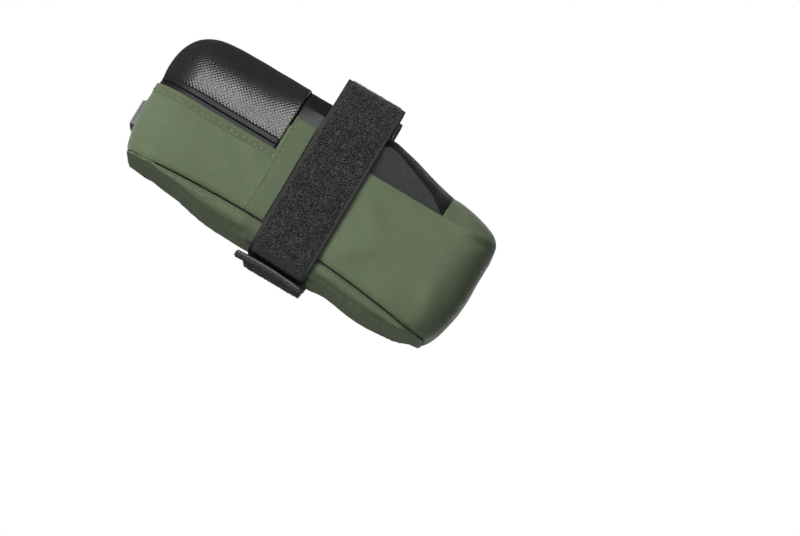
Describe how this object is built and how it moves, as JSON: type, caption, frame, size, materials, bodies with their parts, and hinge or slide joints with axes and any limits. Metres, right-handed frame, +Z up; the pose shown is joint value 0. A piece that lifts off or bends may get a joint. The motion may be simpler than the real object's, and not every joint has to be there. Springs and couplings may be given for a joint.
{
  "type": "saddle bag",
  "caption": "Small green fabric saddle bag with a zipped black lid, hung under a bicycle saddle's rails by a hook-and-loop strap.",
  "frame": {"origin": "midway between the saddle's two rails, on the bag's top under the strap, where the rails rest", "axes": "+X to the bag's front, towards the seatpost; +Z up, away from the bag's base; +Y to the bag's left. In use the bag hangs about 30 degrees nose down, along the rising rear part of the rails"},
  "size_m": [0.1672, 0.0765, 0.0925],
  "materials": {
    "green_fabric": "matt coated ripstop, sage green",
    "black_coated_fabric": "half-gloss coated black fabric with a fine texture",
    "zip_tape": "smooth water-resistant zip tape, black",
    "zip_coil": "nylon coil, black",
    "strap_loop": "fuzzy black loop webbing",
    "strap_hooks": "moulded hooks, black",
    "webbing_grey": "grey and black woven webbing",
    "lining": "plain grey lining",
    "foam": "closed-cell foam, dark grey",
    "board": "stiff plastic sheet, black",
    "zip_metal": "black lacquered zinc"
  },
  "bodies": {
    "bag": {"right_side_panel": "green_fabric", "left_side_panel": "green_fabric", "rear_panel": "green_fabric", "front_panel": "green_fabric", "bottom_panel": "green_fabric", "top_panel": "black_coated_fabric", "base_stiffener": "board", "right_side_foam": "foam", "left_side_foam": "foam", "bottom_seam_binding": "lining", "right_reinforcement_band": "green_fabric", "left_reinforcement_band": "green_fabric", "rear_light_loop": "webbing_grey", "lower_zip_tape": "zip_tape", "lower_zip_coil": "zip_coil", "right_zip_stop": "zip_metal", "left_zip_stop": "zip_metal", "strap": "strap_loop", "strap_anchor_patch": "strap_loop"},
    "lid": {"lid_panel": "black_coated_fabric", "lid_lining": "lining", "upper_zip_tape": "zip_tape", "upper_zip_coil": "zip_coil"},
    "slider": {"zip_slider": "zip_metal"},
    "pull": {"zip_pull_tab": "zip_metal"},
    "strap_end": {"strap_tail": "strap_loop", "strap_hook_patch": "strap_hooks", "strap_tail_hem": "strap_loop"}
  },
  "joints": [
    {"name": "lid_fold", "type": "hinge", "parent": "bag", "child": "lid", "pos_m": [-0.026, 0, 0.0003], "axis": [0, 1, 0], "range_deg": [0, 90]},
    {"name": "slider_travel", "type": "slide", "parent": "bag", "child": "slider", "axis": [-0.9986, 0.053, 0], "range_m": [0, 0.034]},
    {"name": "pull_swing", "type": "hinge", "parent": "slider", "child": "pull", "pos_m": [-0.03385, 0.03799, -0.0305], "axis": [0, 0, -1], "range_deg": [0, 170]},
    {"name": "strap_peel", "type": "hinge", "parent": "bag", "child": "strap_end", "pos_m": [0, 0.017, -0.0773], "axis": [1, 0, 0], "range_deg": [0, 110]}
  ]
}
